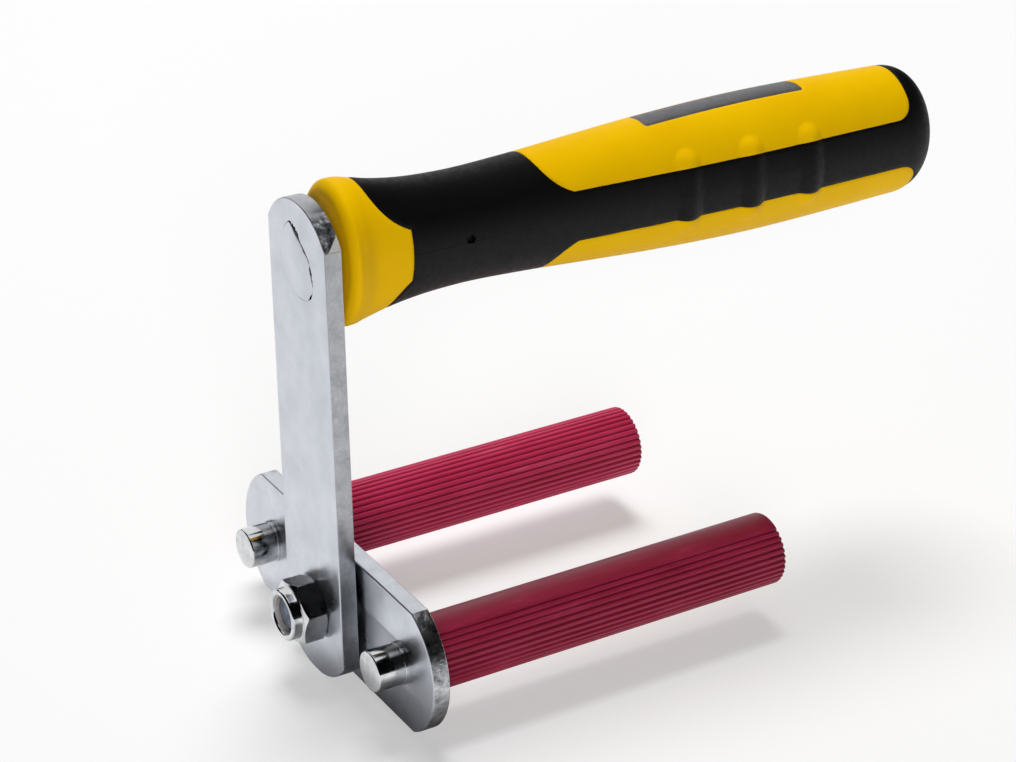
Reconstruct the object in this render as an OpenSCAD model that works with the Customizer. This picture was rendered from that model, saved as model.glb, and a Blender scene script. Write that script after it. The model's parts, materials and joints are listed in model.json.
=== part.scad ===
// Hand carrier for building panels. A moulded grip sits on a shaft welded to the head of a flat
// steel arm. At the arm's foot a rocker turns on a lock-nutted bolt and carries two pins in ribbed
// rubber sleeves, which pinch the edge of a panel when the grip is lifted. The pins' front stubs
// stop the arm at either end of its swing.
// Millimetres. +X across the arm, +Y back along the grip, +Z up. The origin lies under the middle
// of the part, level with the lowest point of the arm's foot.

/* [Arm] */
// Width of the arm's flat bar
arm_w = 25; // [22:0.5:28]
// Thickness of the arm's flat bar
arm_t = 4; // [3:0.25:6]
// Height of the head's centre above the pivot
arm_l = 79; // [68:1:110]
// How far the foot's end radius exceeds half the bar's width
foot_extra = 3.5; // [2:0.25:5]
// How far the head's end radius exceeds half the bar's width
head_extra = 2; // [1:0.25:4]
// Lean of the arm off upright at rest, towards -X
arm_lean = 2.25; // [0:0.25:10]

/* [Rocker] */
// Distance between the two pins
pin_spacing = 58; // [50:1:70]
// Length of the rocker beyond each pin's axis
rocker_reach = 14.2; // [11:0.2:20]
// Height of the rocker
rocker_h = 29; // [24:0.5:30]
// Thickness of the rocker
rocker_t = 4; // [3:0.25:6]
// How far the end radius exceeds half the rocker's height
rocker_extra = 1.6; // [1:0.1:4]

/* [Pins and sleeves] */
// Diameter of the pins
pin_d = 9; // [7:0.5:11]
// Length of each pin's stub in front of the rocker
stub_l = 7.3; // [4:0.1:12]
// Outer diameter of the rubber sleeves
hose_d = 16.2; // [14:0.2:20]
// Length of the rubber sleeves
hose_l = 88.5; // [60:0.5:120]
// Depth of each pin's end inside its sleeve's far mouth
pin_recess = 4; // [1:0.5:20]
// Number of ribs round each sleeve
rib_count = 27; // [16:1:50]
// Depth of the grooves between the ribs
groove_depth = 0.45; // [0.2:0.05:0.8]
// Angle of the plain band along each sleeve
plain_band = 90; // [30:5:150]

/* [Pivot bolt] */
// Diameter of the pivot bolt
bolt_d = 8; // [6:0.5:9]
// Width across flats of the lock nut and the bolt's head
hex_af = 13; // [12:0.5:16]
// Height of the lock nut with its collar
nut_h = 8; // [7:0.25:10]
// Height of the lock nut's hexagon
nut_hex_h = 5.6; // [4.5:0.1:6]
// Height of the bolt's head
head_h = 4; // [3:0.1:7]
// Diameter of the washers
washer_d = 16; // [14:0.5:20]
// Thickness of the washer under the bolt's head
washer_t = 1.6; // [1:0.1:2.5]
// Thickness of the spacer between arm and rocker
spacer_t = 1; // [0.5:0.1:2]

/* [Grip] */
// Length of the grip from the guard to the end cap
grip_l = 150; // [125:1:180]
// Height of the grip round its belly
grip_h = 31; // [28:0.5:36]
// Width of the grip round its belly
grip_w = 26; // [24:0.5:32]
// Turn of the grip on its shaft
grip_roll = 3; // [-15:1:15]
// Height of the shaft above the centre of the arm's head
shaft_rise = 1.3; // [0:0.1:2]
// Droop of the shaft towards the grip's end
shaft_droop = 0.9; // [0:0.05:1.5]
// Gap between the arm and the guard
grip_gap = 2.8; // [1.5:0.1:5]
// Diameter of the steel shaft
shaft_d = 12; // [9:0.5:13]
// Length of the shaft inside the grip
shaft_in = 105; // [60:1:115]
// Thickness of the soft overmould on the sides of the core
skin_t = 2; // [1:0.1:2.4]
// Height of the soft stripe along each side
stripe_h = 11.3; // [7:0.1:14]
// Length of the guard along the sides
guard_l = 14.8; // [12:0.1:18]
// Width of the finger ribs
bump_w = 6.2; // [2.5:0.1:7]
// Height of the finger ribs
bump_h = 1.2; // [0.4:0.1:1.6]
// Length of the blank badge on the grip's crest
badge_l = 41.2; // [20:0.1:55]
// Width of the blank badge
badge_w = 7.2; // [4:0.1:10]

/* [Hidden] */
$fn = 96;

// Overrun of every cut past the faces that it goes through
cut = 1;
// Radial clearance of the pivot bolt in the rocker and the arm
pivot_clear = 0.05;
// Clearance between pieces that are pressed, screwed or welded to each other
seat_fit = 0.02;
// Clearance between the mouldings of the grip
mould_fit = 0.02;

// Places along Y, from the front face of the arm
rocker_y = arm_t + spacer_t;
rocker_back = rocker_y + rocker_t;
head_y = rocker_back + washer_t;
guard_y = arm_t + grip_gap;
front_y = min(-nut_h, rocker_y - stub_l);
back_y = max(guard_y + grip_l, rocker_back + hose_l);
mid_y = (front_y + back_y) / 2;

// Arm and rocker
foot_r = arm_w / 2 + foot_extra;
head_r = arm_w / 2 + head_extra;
rocker_end_r = rocker_h / 2 + rocker_extra;
rocker_end_x = pin_spacing / 2 + rocker_reach - rocker_end_r;
pivot_z = max(foot_r, rocker_h / 2);

// Pins: chamfered ends and the collar swaged up against the rocker
pin_r = pin_d / 2;
pin_chamfer = 0.5;
collar_l = 1.1;
collar_rise = 0.2;
pin_back = rocker_back + hose_l - pin_recess;

// Sleeves: the turn of each plain band, and the points of one groove over its pitch
left_band_turn = 250;
right_band_turn = 110;
groove_shares = [0, 0.12, 0.34, 0.46];
groove_depth_shares = [0, 1, 1, 0];
band_steps = 12;

// Bolt, nut and washers
bolt_r = bolt_d / 2;
bolt_chamfer = 0.8;
bolt_recess = 1.2;
hex_corner_r = hex_af / 2 / cos(30);
hex_face_share = 0.96;
hex_face_r = hex_af / 2 * hex_face_share;
hex_chamfer = (hex_corner_r - hex_face_r) * tan(30);
nut_turn = 12.4;
ring_wall = 1.1;
ring_r = bolt_r + ring_wall;
nut_collar_wall = 0.65;
nut_collar_r = ring_r + nut_collar_wall;
lip_t = 0.5;
lip_in = 0.5;
lip_r = 0.6;
lip_steps = 4;

// Shaft and its welds
shaft_r = shaft_d / 2;
shaft_chamfer = 1;
key_groove_w = 4;
key_groove_depth = 0.8;
key_groove_shares = [0.45, 0.8];
weld_prep = 1.4;
weld_toe = 0.2;
weld_leg_share = 0.9;
weld_leg = grip_gap * weld_leg_share;

// Grip: stations from the guard's front to the start of the rounded end, as shares of its length,
// and the half height and half width there, as shares of the belly's
station_shares = [0, 0.008, 0.02, 0.039, 0.072, 0.118, 0.185, 0.29, 0.385, 0.5, 0.665, 0.84, 0.93];
height_shares = [0.92, 1, 1.02, 0.99, 0.91, 0.835, 0.795, 0.825, 0.885, 0.955, 1.01, 0.985, 0.955];
width_shares = [0.87, 0.955, 0.915, 0.815, 0.8, 0.81, 0.795, 0.82, 0.875, 0.945, 1, 0.965, 0.945];
// Rounded end: power of its curve, places of its rings and size of its flat tip
end_power = 2.6;
end_shares = [0.3, 0.55, 0.75, 0.89, 0.97, 1];
tip_share = 0.28;
// Finger ribs: places along the grip, and their section and height over the angle off the side
bump_y_shares = [0.542, 0.6495, 0.7525];
bump_edge_shares = [-0.5, -0.25, 0.25, 0.5];
bump_rise_shares = [0, 1, 1, 0];
bump_full_angle = 30;
bump_end_angle = 45;
grip_sides = 40;
last_station = len(station_shares) - 1;
// Station ahead of the finger ribs, and the one behind them
before_bumps = 9;
behind_bumps = 11;

// Outlines of the hard mouldings, seen from the side
zone_depth = 2 * (grip_w + grip_h);
// Scallops above and below: centres behind the guard's end and off the axis
scallop_r = 13.7;
scallop_centres = [[5.3, 17.8], [9.6, -16.1]];
// Panels: front end, length of the cap behind them and how far the lower panel is set back
panel_front_share = 0.306;
panel_front = grip_l * panel_front_share;
cap_l = 8.7;
panel_back = grip_l - cap_l;
low_panel_back = 2.1;
nose_r = 12;
tail_r = 4;
core_end = 5.5;
badge_y_share = 0.6413;
badge_t = 2.4;
dimple_share = 0.189;
dimple_z = 0.35;
dimple_r = 0.9;
dimple_depth = 0.8;

// Smooth curve through the stations: slope at a station, span that holds a place, and value there
function gap(i) = station_shares[i + 1] - station_shares[i];
function rise(v, i) = (v[i + 1] - v[i]) / gap(i);
function slope(v, i) =
    i == 0 ? rise(v, 0)
    : i == last_station ? rise(v, i - 1)
    : (gap(i) * rise(v, i - 1) + gap(i - 1) * rise(v, i)) / (gap(i) + gap(i - 1));
function span(s, i = 0) = i >= last_station - 1 || s <= station_shares[i + 1] ? i : span(s, i + 1);
function curve(v, s) =
    let (i = span(s), u = (s - station_shares[i]) / gap(i))
    v[i] * (1 + 2 * u) * pow(1 - u, 2) + v[i + 1] * pow(u, 2) * (3 - 2 * u)
    + gap(i) * u * (1 - u) * (slope(v, i) * (1 - u) - slope(v, i + 1) * u);
function half_h(s) = grip_h / 2 * curve(height_shares, s);
function half_w(s) = grip_w / 2 * curve(width_shares, s);

// One ring of the grip as [place, half width, half height, rib height]
function ring(s, bump = 0) = [s * grip_l, half_w(s), half_h(s), bump];
function end_ring(u) =
    let (
        s0 = station_shares[last_station],
        size = max(pow(1 - pow(u, end_power), 1 / end_power), tip_share)
    )
    [grip_l * (s0 + (1 - s0) * u), half_w(s0) * size, half_h(s0) * size, 0];
rings = concat(
    [for (i = [0:before_bumps - 1], j = [0, 1]) ring(station_shares[i] + gap(i) * j / 2)],
    [ring(station_shares[before_bumps])],
    [for (s = bump_y_shares, e = [0:len(bump_edge_shares) - 1])
        ring(s + bump_edge_shares[e] * bump_w / grip_l, bump_rise_shares[e] * bump_h)],
    [for (i = [behind_bumps:last_station - 1], j = [0, 1]) ring(station_shares[i] + gap(i) * j / 2)],
    [ring(station_shares[last_station])],
    [for (u = end_shares) end_ring(u)]
);
// Share of a finger rib's height at an angle round the grip
function off_side(a) = min(abs(a), abs(a - 180), abs(a - 360));
function bump_share(a) =
    max(0, min(1, (bump_end_angle - off_side(a)) / (bump_end_angle - bump_full_angle)));
grip_points = [
    for (g = rings, k = [0:grip_sides - 1])
        let (a = 360 * k / grip_sides, lift = g[3] * bump_share(a))
        [(g[1] + lift) * cos(a), g[0], (g[2] + lift) * sin(a)]
];
function corner(g, k) = g * grip_sides + k % grip_sides;
grip_faces = concat(
    [[for (k = [grip_sides - 1:-1:0]) corner(0, k)]],
    [for (g = [0:len(rings) - 2], k = [0:grip_sides - 1])
        [corner(g, k), corner(g, k + 1), corner(g + 1, k + 1)]],
    [for (g = [0:len(rings) - 2], k = [0:grip_sides - 1])
        [corner(g, k), corner(g + 1, k + 1), corner(g + 1, k)]],
    [[for (k = [0:grip_sides - 1]) corner(len(rings) - 1, k)]]
);

// Frames of the two bodies, of the shaft's hole, of the shaft and of the grip
module on_rocker() {
    translate([0, -mid_y, pivot_z]) children();
}
module on_lever() {
    on_rocker() rotate([0, -arm_lean, 0]) children();
}
module on_head() {
    on_lever() translate([0, 0, arm_l + shaft_rise]) children();
}
module on_shaft() {
    on_head() rotate([-shaft_droop, 0, 0]) children();
}
module on_grip() {
    on_shaft() translate([0, guard_y, 0]) rotate([0, -grip_roll, 0]) children();
}
// An outline in X and Z drawn out along Y, and a section in radius and Y spun about Y
module along_y(from, length) {
    translate([0, from + length, 0]) rotate([90, 0, 0]) linear_extrude(length) children();
}
module spun_y() {
    rotate([-90, 0, 0]) rotate_extrude() children();
}
// An outline in Y and Z drawn out right across the grip
module across_grip() {
    rotate([90, 0, 90]) linear_extrude(zone_depth, center = true) children();
}
module washer(from, thickness, outer_r, inner_r) {
    along_y(from, thickness) difference() {
        circle(outer_r);
        circle(inner_r);
    }
}
// A chamfered hexagon from one place along Y to another
module hex_block(from, length) {
    intersection() {
        along_y(from, length) rotate(nut_turn) circle(hex_corner_r, $fn = 6);
        spun_y() polygon([
            [0, from], [hex_face_r, from], [hex_corner_r, from + hex_chamfer],
            [hex_corner_r, from + length - hex_chamfer], [hex_face_r, from + length],
            [0, from + length]
        ]);
    }
}

// Rocker with its pins and sleeves
module rocker_outline() {
    intersection() {
        square([2 * (rocker_end_x + rocker_end_r), rocker_h], center = true);
        union() {
            square([2 * rocker_end_x, rocker_h], center = true);
            for (side = [-1, 1]) translate([side * rocker_end_x, 0]) circle(rocker_end_r);
        }
    }
}
module rocker_plate() {
    color("gainsboro") on_rocker() along_y(rocker_y, rocker_t) difference() {
        rocker_outline();
        circle(bolt_r + pivot_clear);
        for (side = [-1, 1]) translate([side * pin_spacing / 2, 0]) circle(pin_r + seat_fit);
    }
}
module pin(side) {
    front = rocker_y - stub_l;
    color("silver") on_rocker() translate([side * pin_spacing / 2, 0, 0]) spun_y() polygon([
        [0, front], [pin_r - pin_chamfer, front], [pin_r, front + pin_chamfer],
        [pin_r, rocker_y - collar_l], [pin_r + collar_rise, rocker_y - collar_l],
        [pin_r + collar_rise, rocker_y], [pin_r, rocker_y],
        [pin_r, pin_back - pin_chamfer], [pin_r - pin_chamfer, pin_back], [0, pin_back]
    ]);
}
module left_pin() { pin(-1); }
module right_pin() { pin(1); }
// Ribbed outline of a sleeve with its plain band centred on angle zero
function hose_point(r, a) = [r * cos(a), r * sin(a)];
function hose_outline() =
    let (pitch = (360 - plain_band) / rib_count, r = hose_d / 2)
    concat(
        [for (k = [0:rib_count - 1], p = [0:len(groove_shares) - 1])
            hose_point(r - groove_depth * groove_depth_shares[p],
                plain_band / 2 + pitch * (k + groove_shares[p]))],
        [for (k = [0:band_steps - 1]) hose_point(r, plain_band * (k / band_steps - 0.5))]
    );
module hose(side, turn) {
    color("crimson") on_rocker() translate([side * pin_spacing / 2, 0, 0])
        along_y(rocker_back, hose_l) difference() {
            rotate(turn) polygon(hose_outline());
            circle(pin_r + seat_fit);
        }
}
module left_hose() { hose(-1, left_band_turn); }
module right_hose() { hose(1, right_band_turn); }

// Hole of the drooping shaft through the arm and the welds
module shaft_hole() {
    on_shaft() along_y(-cut, guard_y + cut) circle(shaft_r + seat_fit);
}

// Arm and the pivot's fasteners
module arm_outline() {
    intersection() {
        translate([-arm_w / 2, -foot_r]) square([arm_w, foot_r + arm_l + head_r]);
        union() {
            circle(foot_r);
            translate([-arm_w / 2, 0]) square([arm_w, arm_l]);
            translate([0, arm_l]) circle(head_r);
        }
    }
}
module arm_plate() {
    color("gainsboro") difference() {
        on_lever() along_y(0, arm_t) difference() {
            arm_outline();
            circle(bolt_r + pivot_clear);
        }
        shaft_hole();
        on_head() spun_y() polygon([
            [0, -cut], [shaft_r + weld_prep + cut, -cut],
            [shaft_r + weld_toe, weld_prep - weld_toe], [0, weld_prep - weld_toe]
        ]);
    }
}
module spacer_washer() {
    color("dimgray") on_lever() washer(arm_t, spacer_t, washer_d / 2, bolt_r + pivot_clear);
}
module head_washer() {
    color("silver") on_lever() washer(rocker_back, washer_t, washer_d / 2, bolt_r + pivot_clear);
}
module pivot_bolt() {
    tip = bolt_recess - nut_h;
    color("silver") on_lever() {
        hex_block(head_y, head_h);
        spun_y() polygon([
            [0, tip], [bolt_r - bolt_chamfer, tip], [bolt_r, tip + bolt_chamfer],
            [bolt_r, head_y + head_h / 2], [0, head_y + head_h / 2]
        ]);
    }
}
module lock_nut() {
    lip_y = lip_t - nut_h;
    color("silver") on_lever() difference() {
        union() {
            hex_block(-nut_hex_h, nut_hex_h);
            spun_y() polygon(concat(
                [[0, -nut_hex_h / 2], [0, -nut_h]],
                [for (k = [0:lip_steps]) let (a = 90 * k / lip_steps)
                    [nut_collar_r - lip_r * (1 - sin(a)), -nut_h + lip_r * (1 - cos(a))]],
                [[nut_collar_r, -nut_hex_h / 2]]
            ));
        }
        spun_y() polygon([
            [0, cut], [bolt_r + seat_fit, cut], [bolt_r + seat_fit, -nut_hex_h],
            [ring_r, -nut_hex_h], [ring_r, lip_y], [ring_r - lip_in, lip_y],
            [ring_r - lip_in, -nut_h - cut], [0, -nut_h - cut]
        ]);
    }
}
module nylon_ring() {
    back = nut_hex_h + seat_fit;
    color("lightsteelblue") on_lever()
        washer(lip_t + seat_fit - nut_h, nut_h - lip_t - seat_fit - back,
            ring_r - seat_fit, bolt_r + seat_fit);
}

// Shaft with its welds
module handle_shaft() {
    tail = guard_y + shaft_in;
    color("gray") difference() {
        on_shaft() difference() {
            spun_y() polygon([
                [0, -cut], [shaft_r, -cut], [shaft_r, tail - shaft_chamfer],
                [shaft_r - shaft_chamfer, tail], [0, tail]
            ]);
            for (s = key_groove_shares)
                washer(guard_y + shaft_in * s, key_groove_w, shaft_r + cut, shaft_r - key_groove_depth);
        }
        on_head() along_y(-2 * cut, 2 * cut) circle(shaft_d);
    }
}
module front_weld() {
    deep = weld_prep - weld_toe - seat_fit;
    color("lightgray") difference() {
        on_head() spun_y() polygon([
            [0, 0], [shaft_r + weld_prep - seat_fit, 0], [shaft_r + weld_toe, deep], [0, deep]
        ]);
        shaft_hole();
    }
}
module rear_weld() {
    color("gray") difference() {
        on_head() spun_y() polygon([
            [0, arm_t], [shaft_r + weld_leg, arm_t], [shaft_r + weld_toe, arm_t + weld_leg - weld_toe],
            [0, arm_t + weld_leg - weld_toe]
        ]);
        shaft_hole();
    }
}

// Grip mouldings
module grip_form() {
    polyhedron(grip_points, grip_faces);
}
module panel_outline(grow) {
    low = stripe_h / 2;
    translate([panel_front + nose_r, low - grow])
        square([panel_back - tail_r - panel_front - nose_r, zone_depth]);
    translate([panel_front + nose_r, low + tail_r])
        square([panel_back + grow - panel_front - nose_r, zone_depth]);
    translate([panel_back - tail_r, low + tail_r]) circle(tail_r + grow);
    translate([panel_front + nose_r, low + nose_r]) circle(nose_r + grow);
    translate([panel_front - grow, low + nose_r]) square([nose_r + grow, zone_depth]);
}
module hard_outline(grow = 0) {
    difference() {
        translate([-cut, -zone_depth / 2]) square([guard_l + cut + grow, zone_depth]);
        for (c = scallop_centres) translate([guard_l + c[0], c[1]]) circle(scallop_r - grow);
    }
    panel_outline(grow);
    translate([low_panel_back, 0]) mirror([0, 1]) panel_outline(grow);
}
// Round core under the soft moulding, thinner than the grip by the skin's thickness
module core_barrel(grow = 0) {
    spun_y() polygon(concat(
        [[0, 0]],
        [for (s = station_shares) [half_w(s) - skin_t + grow, s * grip_l]],
        [[half_w(station_shares[last_station]) - skin_t + grow, grip_l - core_end + grow],
            [0, grip_l - core_end + grow]]
    ));
}
module badge_block(grow = 0) {
    translate([
        -badge_w / 2 - grow, grip_l * badge_y_share - badge_l / 2 - grow,
        grip_h / 2 - badge_t - grow
    ]) cube([badge_w + 2 * grow, badge_l + 2 * grow, grip_h]);
}
module grip_core() {
    color("gold") on_grip() difference() {
        union() {
            intersection() {
                grip_form();
                across_grip() hard_outline();
            }
            core_barrel();
        }
        along_y(-cut, cut + shaft_in + seat_fit) circle(shaft_r + seat_fit);
        badge_block(mould_fit);
    }
}
module grip_overmould() {
    neck = half_w(dimple_share);
    color("#202124") on_grip() difference() {
        grip_form();
        across_grip() hard_outline(mould_fit);
        core_barrel(mould_fit);
        translate([neck - dimple_depth, grip_l * dimple_share, dimple_z])
            rotate([0, 90, 0]) cylinder(dimple_depth + cut, r = dimple_r);
    }
}
module badge_plate() {
    color("#4a4c50") on_grip() intersection() {
        grip_form();
        badge_block();
    }
}

rocker_plate();
left_pin();
right_pin();
left_hose();
right_hose();
arm_plate();
spacer_washer();
head_washer();
pivot_bolt();
lock_nut();
nylon_ring();
handle_shaft();
front_weld();
rear_weld();
grip_core();
grip_overmould();
badge_plate();
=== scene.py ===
import json
import math

import bmesh
import bpy
import numpy as np
from mathutils import Matrix, Vector, geometry

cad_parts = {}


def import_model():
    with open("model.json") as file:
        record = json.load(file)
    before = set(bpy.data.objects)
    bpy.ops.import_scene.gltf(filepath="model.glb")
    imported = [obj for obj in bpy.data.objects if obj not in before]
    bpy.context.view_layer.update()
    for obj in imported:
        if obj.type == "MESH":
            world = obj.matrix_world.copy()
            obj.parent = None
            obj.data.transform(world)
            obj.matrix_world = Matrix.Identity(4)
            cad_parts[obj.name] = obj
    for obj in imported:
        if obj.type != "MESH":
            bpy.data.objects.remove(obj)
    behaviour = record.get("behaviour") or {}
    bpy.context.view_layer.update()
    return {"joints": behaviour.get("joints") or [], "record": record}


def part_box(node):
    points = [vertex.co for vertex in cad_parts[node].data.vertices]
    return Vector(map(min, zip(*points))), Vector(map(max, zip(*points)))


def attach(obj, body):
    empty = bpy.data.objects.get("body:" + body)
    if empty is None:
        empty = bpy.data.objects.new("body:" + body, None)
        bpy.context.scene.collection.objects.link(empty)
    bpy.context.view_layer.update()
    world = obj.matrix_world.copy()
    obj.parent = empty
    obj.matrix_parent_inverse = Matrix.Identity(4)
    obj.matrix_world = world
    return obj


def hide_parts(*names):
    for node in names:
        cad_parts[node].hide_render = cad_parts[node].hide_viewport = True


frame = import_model()

# Lengths below are millimetres in the frame of a body, and angles are degrees unless they are named
# in radians. A body's frame has its origin at the pivot, in the front face of the arm.
MM = 0.001
PIVOT = Vector(frame["joints"][0]["pos_m"])
RECORD = frame["record"]
SLOT = {row["node"]: row["material_slot"] for row in RECORD["subparts"]}
BODY = {node: body for body, nodes in RECORD["behaviour"]["bodies"].items() for node in nodes}


def span(node):
    """The lowest and the highest corner of a CAD node, from the pivot."""
    low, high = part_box(node)
    return (low - PIVOT) / MM, (high - PIVOT) / MM


def middle(node):
    low, high = span(node)
    return (low + high) / 2


# Sizes read from the CAD nodes
ARM_T = span("arm_plate")[1].y
FOOT_R = -span("arm_plate")[0].z
ROCKER_FRONT, ROCKER_BACK = (corner.y for corner in span("rocker_plate"))
ROCKER_HALF_L = span("rocker_plate")[1].x
ROCKER_HALF_H = span("rocker_plate")[1].z
PIN_X = middle("right_pin").x
PIN_FRONT, PIN_BACK = (corner.y for corner in span("right_pin"))
SLEEVE_BACK = span("right_hose")[1].y
SLEEVE_R = span("right_hose")[1].x - PIN_X
NUT_FRONT = span("lock_nut")[0].y
RING_FRONT, RING_BACK = (corner.y for corner in span("nylon_ring"))
RING_R = span("nylon_ring")[1].x
BOLT_FRONT, BOLT_BACK = (corner.y for corner in span("pivot_bolt"))
WASHER_R = span("head_washer")[1].x
WASHER_BACK = span("head_washer")[1].y
SHAFT_BACK = span("handle_shaft")[1].y

# Turns read from the CAD nodes, in radians: the arm's lean, the shaft's droop and the grip's roll
head = middle("front_weld")
LEAN = math.atan2(-head.x, head.z)
SHAFT_Z = math.hypot(head.x, head.z)
DROOP = math.asin(2 * (head.z - middle("handle_shaft").z) / SHAFT_BACK)
badge_off = middle("badge_plate") - head
ROLL = math.atan2(-badge_off.x, badge_off.z + badge_off.y * math.tan(DROOP)) - LEAN

# Sizes of the CAD source that its boxes don't give
ARM_W = 25
HEAD_Z = 79
HEAD_R = 14.5
ROCKER_END_R = 16.1
PIN_R = 4.5
BOLT_R = 4
SHAFT_R = 6
HEX_AF = 13
NUT_TURN = 12.4
NUT_HEX_H = 5.6
GRIP_GAP = 2.8
GRIP_L = 150
GRIP_H = 31
GRIP_W = 26

ROCKER = Matrix.Translation(PIVOT) @ Matrix.Scale(MM, 4)
LEVER = ROCKER @ Matrix.Rotation(-LEAN, 4, "Y")
SHAFT = LEVER @ Matrix.Translation((0, 0, SHAFT_Z)) @ Matrix.Rotation(-DROOP, 4, "X")
GRIP = SHAFT @ Matrix.Translation((0, ARM_T + GRIP_GAP, 0)) @ Matrix.Rotation(-ROLL, 4, "Y")

rng = np.random.default_rng(7)


# Materials

# Depth of a sleeve's grooves
GROOVE = 0.45
# Where one finish fades into the next. Zinc: how far a face looks forward, the arm's back, the torn
# arc on its head, whose grit is darkened with painted shade, with the slant of the wedge behind it,
# which is a painted highlight, and the rocker's worn ends, then how scuffed the other edges are and
# how dull the torn arc is. Bright steel: the bolt's sawn end, darkened and blued with painted shade,
# and how much rougher it is
EDGE_FACING = (0.35, 0.8)
ARM_BACK = (4.3, 5.5)
TORN_Z = (85.8, 86.5)
TORN_X = (5.5, 7.5)
WEDGE_SLANT = -1.1
WEDGE_FROM = (-94.1, -93.7)
WORN_END = (32, 35)
EDGE_SCUFFS = 0.15
TORN_DULL = 0.75
SAWN_Y = (-5.2, -4.8)
SAWN_R = (4.05, 4.2)
SAWN_ROUGH = 0.35
# Parting line on the right of the grip's neck: its height and half width, and where it fades out
PARTING_Z = -0.35
PARTING_W = 0.16
PARTING_Y = (30, 48)
PARTING_X = (5, 8)


def srgb(red, green, blue):
    """A colour given as screen values from 0 to 255, as Blender's linear colour."""
    values = [v / 255 for v in (red, green, blue)]
    linear = [v / 12.92 if v <= 0.04045 else ((v + 0.055) / 1.055) ** 2.4 for v in values]
    return (*linear, 1)


class Shade:
    """A Principled material, and the few kinds of node that the surfaces here are mixed from.
    Every pattern lies in the piece's own millimetres, which each mesh carries as its mm attribute."""

    def __init__(self, name, **sockets):
        self.material = bpy.data.materials.new(name)
        self.material.use_nodes = True
        self.tree = self.material.node_tree
        self.surface = self.tree.nodes["Principled BSDF"]
        for socket, value in sockets.items():
            self.surface.inputs[socket.replace("_", " ")].default_value = value
        self.mm = self.node("ShaderNodeAttribute", attribute_name="mm").outputs["Vector"]
        self.height = None

    def node(self, kind, **settings):
        made = self.tree.nodes.new(kind)
        for key, value in settings.items():
            setattr(made, key, value)
        return made

    def feed(self, socket, value):
        """Links a socket to a node's output, or sets it to a constant."""
        if hasattr(value, "links"):
            self.tree.links.new(value, socket)
        else:
            socket.default_value = value

    def to(self, socket, value):
        self.feed(self.surface.inputs[socket], value)

    def noise(self, scale, detail=3, rough=0.55, stretch=(1, 1, 1), shift=0):
        mapping = self.node("ShaderNodeMapping")
        self.feed(mapping.inputs["Vector"], self.mm)
        mapping.inputs["Scale"].default_value = stretch
        mapping.inputs["Location"].default_value = (shift, shift, shift)
        noise = self.node("ShaderNodeTexNoise")
        self.feed(noise.inputs["Vector"], mapping.outputs["Vector"])
        noise.inputs["Scale"].default_value = scale
        noise.inputs["Detail"].default_value = detail
        noise.inputs["Roughness"].default_value = rough
        return noise.outputs["Fac"]

    def ramp(self, value, *stops):
        ramp = self.node("ShaderNodeValToRGB")
        elements = ramp.color_ramp.elements
        while len(elements) < len(stops):
            elements.new(0.5)
        for element, (place, colour) in zip(elements, stops):
            element.position = place
            element.color = colour
        self.feed(ramp.inputs["Fac"], value)
        return ramp.outputs["Color"]

    def fit(self, value, low, high, to_low=0.0, to_high=1.0):
        """A value moved smoothly from one range to another, and held at its ends."""
        fit = self.node("ShaderNodeMapRange", interpolation_type="SMOOTHSTEP")
        for socket, number in zip(fit.inputs, (value, low, high, to_low, to_high)):
            self.feed(socket, number)
        return fit.outputs["Result"]

    def math(self, operation, *values):
        made = self.node("ShaderNodeMath", operation=operation)
        for socket, value in zip(made.inputs, values):
            self.feed(socket, value)
        return made.outputs["Value"]

    def mix(self, share, first, second):
        mix = self.node("ShaderNodeMix", data_type="RGBA")
        self.feed(mix.inputs["Factor"], share)
        self.feed(mix.inputs["A"], first)
        self.feed(mix.inputs["B"], second)
        return mix.outputs["Result"]

    def axes(self):
        """The piece's own x, y and z."""
        split = self.node("ShaderNodeSeparateXYZ")
        self.feed(split.inputs["Vector"], self.mm)
        return split.outputs

    def bump(self, height, depth):
        """Adds fine relief of so many millimetres."""
        bump = self.node("ShaderNodeBump")
        bump.inputs["Strength"].default_value = 1
        bump.inputs["Distance"].default_value = depth * MM
        self.feed(bump.inputs["Height"], height)
        if self.height:
            self.feed(bump.inputs["Normal"], self.height)
        self.height = bump.outputs["Normal"]
        self.to("Normal", self.height)


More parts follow.
